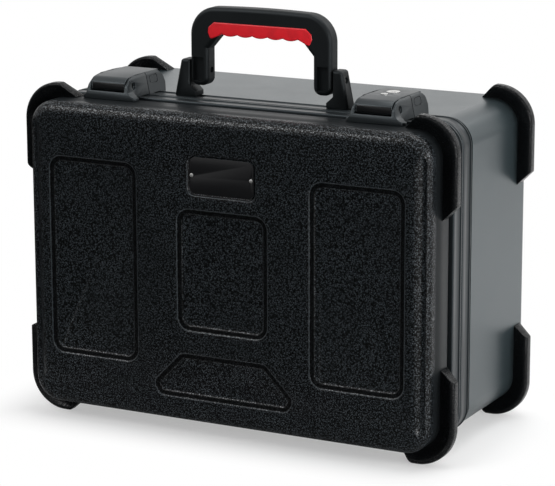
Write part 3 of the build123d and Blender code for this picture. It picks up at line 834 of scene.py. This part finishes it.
def studio_world(stage):
    """White to the camera and in reflections; its light is white behind the case, dimmer in front."""
    world = bpy.data.worlds.new("studio")
    world.use_nodes = True
    bpy.context.scene.world = world
    tree = world.node_tree
    background = tree.nodes["Background"]
    background.inputs["Color"].default_value = (1, 1, 1, 1)
    path = tree.nodes.new("ShaderNodeLightPath")
    direction = tree.nodes.new("ShaderNodeTexCoord")
    split = tree.nodes.new("ShaderNodeSeparateXYZ")
    tree.links.new(direction.outputs["Generated"], split.inputs[0])
    camera = Wire(tree, path.outputs["Is Camera Ray"])
    through = Wire(tree, path.outputs["Is Transmission Ray"])
    mirrored = Wire(tree, path.outputs["Is Glossy Ray"])
    back = (Wire(tree, split.outputs["Y"]) + LIGHT_TURN) / (2 * LIGHT_TURN)
    back = back.reckon("MAXIMUM", back, 0.0)
    back = back.reckon("MINIMUM", back, 1.0)
    seen = camera + through + mirrored
    seen = seen.reckon("MINIMUM", seen, 1.0)
    strength = seen + (1 - seen) * (stage.front_light + back * (1 - stage.front_light))
    plug(tree, background.inputs["Strength"], strength)


def floor_finish(stage):
    """Pale floor that keeps the case's shadow and fades into the white beyond it."""
    make = Finish("studio_floor", Roughness=0.9, Specular_IOR_Level=0.1)
    speck = make.noise(0.4, detail=3.0)
    front = make.step(0 - make.along("Y"), *DARK_FRONT)
    left = make.step(0 - make.along("X"), *DARK_LEFT)
    dark = front.reckon("MAXIMUM", front, left) * (1 - make.step(make.along("X"), *PALE_RIGHT))
    sheet = make.blend(speck, stage.floor_colour, shade(stage.floor_colour, 0.99))
    make.surface(Base_Color=make.blend(dark, sheet, shade(stage.floor_colour, DARK_SHARE)))
    output = make.tree.nodes["Material Output"]
    path = make.tree.nodes.new("ShaderNodeLightPath")
    camera = Wire(make.tree, path.outputs["Is Camera Ray"])
    glow = make.tree.nodes.new("ShaderNodeEmission")
    mix = make.tree.nodes.new("ShaderNodeMixShader")
    beyond = []
    for axis, half in (("X", cad_high.x), ("Y", cad_high.y)):
        side = make.along(axis)
        side = side.reckon("ABSOLUTE", side) - half
        beyond.append(side.reckon("MAXIMUM", side, 0.0))
    away = (beyond[0] ** 2.0 + beyond[1] ** 2.0) ** 0.5
    far = make.step(away, *FADE)
    plug(make.tree, mix.inputs[0], camera * (NEAR_WHITE + far * (1 - NEAR_WHITE)))
    make.tree.links.new(make.shader.outputs[0], mix.inputs[1])
    make.tree.links.new(glow.outputs[0], mix.inputs[2])
    make.tree.links.new(mix.outputs[0], output.inputs["Surface"])
    return make.material


def studio_camera(stage):
    """Camera that looks down on the case a little, from its front right."""
    camera = bpy.data.cameras.new("camera")
    camera.lens = stage.lens
    camera.sensor_width = 36
    holder = bpy.data.objects.new("camera", camera)
    holder.location = stage.place
    aim = Euler((math.pi / 2 - stage.elevation, 0, stage.azimuth), "XYZ").to_matrix()
    holder.rotation_euler = (aim @ Euler((0, 0, stage.roll), "XYZ").to_matrix()).to_euler()
    bpy.context.scene.collection.objects.link(holder)
    bpy.context.scene.camera = holder


class CASE_OT_stage(bpy.types.Operator):
    """Floor, lamps, world and camera."""

    bl_idname = "miccase.stage"
    bl_label = "Stage"

    def execute(self, context):
        stage = settings().stage
        start_alone()
        bpy.ops.mesh.primitive_plane_add(size=60, location=(0, 0, cad_low.z))
        floor = context.active_object
        floor.name = "studio_floor"
        bpy.ops.object.transform_apply(location=True, rotation=True, scale=True)
        paint(floor, floor_finish(stage))
        middle = (0, 0, 0.17)
        behind = (0.65, 0.8, 0)
        area_lamp("front_left", (-1.3, -1.6, 1.9), middle, size=(1.3, 1.3), power=27)
        area_lamp("front_right", (2.2, -1.6, 0.5), middle, size=(0.7, 1.0), power=24)
        area_lamp("right", (2.3, -0.15, 0.75), middle, size=(0.8, 1.1), power=17)
        area_lamp("overhead", (0.2, 0.3, 2.3), middle, size=(1.4, 1.0), power=20)
        area_lamp("back_floor", (0.8, 1.1, 1.3), behind, size=(0.8, 0.8), power=6)
        studio_world(stage)
        studio_camera(stage)
        context.scene.view_settings.view_transform = "Standard"
        return {"FINISHED"}


class CASE_PT_panel(bpy.types.Panel):
    """Lists the pieces of the case."""

    bl_idname = "CASE_PT_panel"
    bl_label = "Microphone case"
    bl_space_type = "VIEW_3D"
    bl_region_type = "UI"
    bl_category = "Microphone case"

    def draw(self, context):
        for operator in OPERATORS:
            self.layout.operator(operator.bl_idname)
        for group in ("shells", "metals", "fittings", "foam", "stage"):
            box = self.layout.box()
            box.label(text=group.capitalize())
            values = getattr(settings(), group)
            for name in values.__annotations__:
                box.prop(values, name)


GROUPS = (ShellSettings, MetalSettings, FittingSettings, FoamSettings, StageSettings, CaseSettings)
OPERATORS = (
    CASE_OT_shells,
    CASE_OT_badge,
    CASE_OT_valances,
    CASE_OT_guards,
    CASE_OT_handle,
    CASE_OT_latches,
    CASE_OT_hinges,
    CASE_OT_foam,
    CASE_OT_lid_foam,
    CASE_OT_stage,
)


def register():
    for item in (*GROUPS, *OPERATORS, CASE_PT_panel):
        bpy.utils.register_class(item)
    bpy.types.Scene.microphone_case = bpy.props.PointerProperty(type=CaseSettings)


def unregister():
    del bpy.types.Scene.microphone_case
    for item in reversed((*GROUPS, *OPERATORS, CASE_PT_panel)):
        bpy.utils.unregister_class(item)


def main():
    register()
    bpy.ops.miccase.shells()
    bpy.ops.miccase.badge()
    bpy.ops.miccase.valances()
    bpy.ops.miccase.guards()
    bpy.ops.miccase.handle()
    bpy.ops.miccase.latches()
    bpy.ops.miccase.hinges()
    bpy.ops.miccase.foam()
    bpy.ops.miccase.lid_foam()
    bpy.ops.miccase.stage()
    bpy.context.view_layer.update()


if __name__ == "__main__":
    main()
